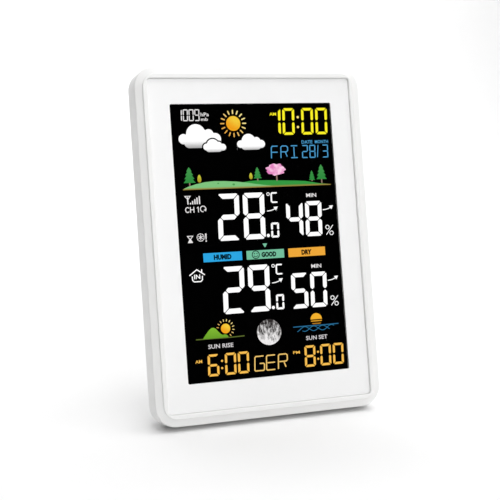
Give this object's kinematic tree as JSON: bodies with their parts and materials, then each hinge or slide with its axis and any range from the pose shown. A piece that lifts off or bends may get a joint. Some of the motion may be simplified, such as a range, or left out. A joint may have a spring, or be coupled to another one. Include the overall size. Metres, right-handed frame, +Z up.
{
  "type": "home weather station",
  "caption": "Upright desktop weather station console with a framed colour display, rear keys, a folding stand, a battery bay with a tilting door and keyholes for hanging.",
  "frame": {"origin": "centre of the footprint's bounding box, on the surface the console stands on", "axes": "+X to the right as seen from the front, +Y to the rear, +Z up; the display faces -Y and leans back 11.5 degrees on its open stand"},
  "size_m": [0.1366, 0.0622, 0.1989],
  "materials": {
    "white_plastic": "fine satin moulded white",
    "white_plastic_rear": "fine spark-textured white",
    "key_plastic": "smooth satin pale grey",
    "clear_acrylic": "clear, anti-glare",
    "white_print": "flat white ink",
    "foam": "fine closed-cell foam",
    "polarizer": "dark neutral film",
    "display_glass": "clear float glass",
    "colour_film": "printed transparent film",
    "diffuser_film": "frosted film",
    "light_guide": "clear acrylic plate",
    "reflector_film": "silvered film",
    "led_strip": "white board with light-emitting chips",
    "inner_plastic": "moulded light grey",
    "zinc_screw": "zinc plated",
    "ribbon": "amber film with fine lines",
    "circuit_board": "green solder mask",
    "black_resin": "poured black resin",
    "nickel": "nickel plated",
    "black_plastic": "moulded black",
    "copper_wire": "enamelled wire",
    "battery_sleeve": "plain printed sleeve",
    "wire_sleeve": "soft insulation",
    "pale_silicone": "translucent silicone",
    "dark_rubber": "matt moulded rubber"
  },
  "bodies": {
    "console": {"front_frame": "white_plastic", "window": "clear_acrylic", "window_print": "white_print", "dust_gasket": "foam", "front_polarizer": "polarizer", "front_glass": "display_glass", "rear_glass": "display_glass", "rear_polarizer": "polarizer", "colour_film": "colour_film", "diffuser": "diffuser_film", "light_guide": "light_guide", "reflector": "reflector_film", "led_strip": "led_strip", "display_holder": "inner_plastic", "holder_screws": "zinc_screw", "display_ribbon": "ribbon", "main_board": "circuit_board", "board_screws": "zinc_screw", "controller": "black_resin", "crystal": "nickel", "pressure_sensor": "nickel", "key_switches": "black_plastic", "power_socket": "black_plastic", "buzzer": "black_plastic", "radio_board": "circuit_board", "antenna": "copper_wire", "sensor_board": "circuit_board", "humidity_sensor": "inner_plastic", "rear_cover": "white_plastic_rear", "cover_screws": "zinc_screw", "contact_springs": "nickel", "contact_plates": "nickel", "batteries": "battery_sleeve", "battery_wires": "wire_sleeve", "top_key_board": "circuit_board", "stand_pin": "nickel", "foot_pads": "pale_silicone"},
    "stand": {"stand": "white_plastic_rear", "stand_foot": "dark_rubber"},
    "battery_door": {"battery_door": "white_plastic_rear"},
    "top_key": {"top_key": "key_plastic"},
    "key_1": {"key_1": "key_plastic"},
    "key_2": {"key_2": "key_plastic"},
    "key_3": {"key_3": "key_plastic"},
    "key_4": {"key_4": "key_plastic"},
    "key_5": {"key_5": "key_plastic"},
    "key_6": {"key_6": "key_plastic"}
  },
  "joints": [
    {"name": "stand_fold", "type": "hinge", "parent": "console", "child": "stand", "pos_m": [0, 0.00645, 0.07735], "axis": [-1, 0, 0], "range_deg": [0, 24.69]},
    {"name": "battery_door_tilt", "type": "hinge", "parent": "console", "child": "battery_door", "pos_m": [0, 0.01955, 0.1355], "axis": [-1, 0, 0], "range_deg": [0, 70]},
    {"name": "key_1_press", "type": "slide", "parent": "console", "child": "key_1", "axis": [0, -0.9799, 0.1994], "range_m": [0, 0.0008], "stiffness_N_per_m": 300},
    {"name": "key_2_press", "type": "slide", "parent": "console", "child": "key_2", "axis": [0, -0.9799, 0.1994], "range_m": [0, 0.0008], "stiffness_N_per_m": 300},
    {"name": "key_3_press", "type": "slide", "parent": "console", "child": "key_3", "axis": [0, -0.9799, 0.1994], "range_m": [0, 0.0008], "stiffness_N_per_m": 300},
    {"name": "key_4_press", "type": "slide", "parent": "console", "child": "key_4", "axis": [0, -0.9799, 0.1994], "range_m": [0, 0.0008], "stiffness_N_per_m": 300},
    {"name": "key_5_press", "type": "slide", "parent": "console", "child": "key_5", "axis": [0, -0.9799, 0.1994], "range_m": [0, 0.0008], "stiffness_N_per_m": 300},
    {"name": "key_6_press", "type": "slide", "parent": "console", "child": "key_6", "axis": [0, -0.9799, 0.1994], "range_m": [0, 0.0008], "stiffness_N_per_m": 300},
    {"name": "top_key_press", "type": "slide", "parent": "console", "child": "top_key", "axis": [0, -0.1994, -0.9799], "range_m": [0, 0.0005], "stiffness_N_per_m": 400}
  ]
}
